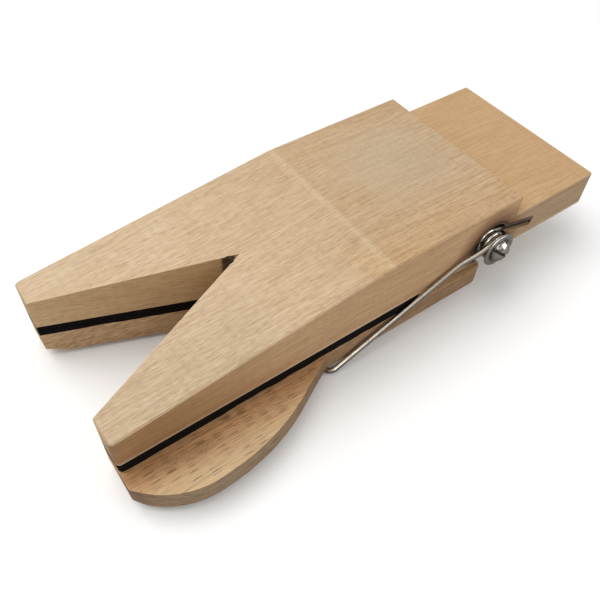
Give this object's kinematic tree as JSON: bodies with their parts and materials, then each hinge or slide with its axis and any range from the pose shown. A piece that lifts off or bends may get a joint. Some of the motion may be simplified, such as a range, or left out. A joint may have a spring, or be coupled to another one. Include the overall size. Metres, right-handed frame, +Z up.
{
  "type": "jewelers bench vise",
  "caption": "Wooden jeweler's bench pin with a V notch and a spring-closed lower jaw that a thumb tab opens, on a stepped tongue for a slot in the bench.",
  "frame": {"origin": "on the underside of the upper board, on the shoulder line where the tongue starts, at mid-width", "axes": "+X along the tongue, away from the jaw tips; +Y to the side without the thumb tab; +Z up, out of the upper board's working face"},
  "size_m": [0.2, 0.095, 0.0394],
  "materials": {
    "beech": "fine-sanded bare beech, with light edge wear",
    "dowel": "plain turned hardwood rod",
    "lining": "matt black, slightly rough",
    "spring_wire": "drawn spring steel wire, satin",
    "screw_plate": "bright nickel plate, polished",
    "washer_steel": "zinc plated, satin"
  },
  "bodies": {
    "upper_jaw": {"upper_jaw_board": "beech", "upper_lining": "lining", "fulcrum_dowel": "dowel", "pivot_screw_right": "screw_plate", "pivot_screw_left": "screw_plate", "washer_right": "washer_steel", "washer_left": "washer_steel", "spring_coil_right": "spring_wire", "spring_coil_left": "spring_wire"},
    "lower_jaw": {"lower_jaw_board": "beech", "lower_lining": "lining"},
    "spring_arm": {"spring_bail": "spring_wire"}
  },
  "joints": [
    {"name": "jaw_hinge", "type": "hinge", "parent": "upper_jaw", "child": "lower_jaw", "pos_m": [-0.038, 0, -0.0023], "axis": [0, -1, 0], "range_deg": [0, 9.2], "stiffness_Nm_per_rad": 2.1, "springref_deg": -25.78},
    {"name": "arm_pivot", "type": "hinge", "parent": "upper_jaw", "child": "spring_arm", "pos_m": [-0.0115, 0, 0.007], "axis": [0, -1, 0], "range_deg": [0, 5.8], "deforming": ["spring_coil_right", "spring_coil_left"]}
  ],
  "couplings": [
    {"joint": "arm_pivot", "follows": "jaw_hinge", "ratio": 0.623}
  ]
}
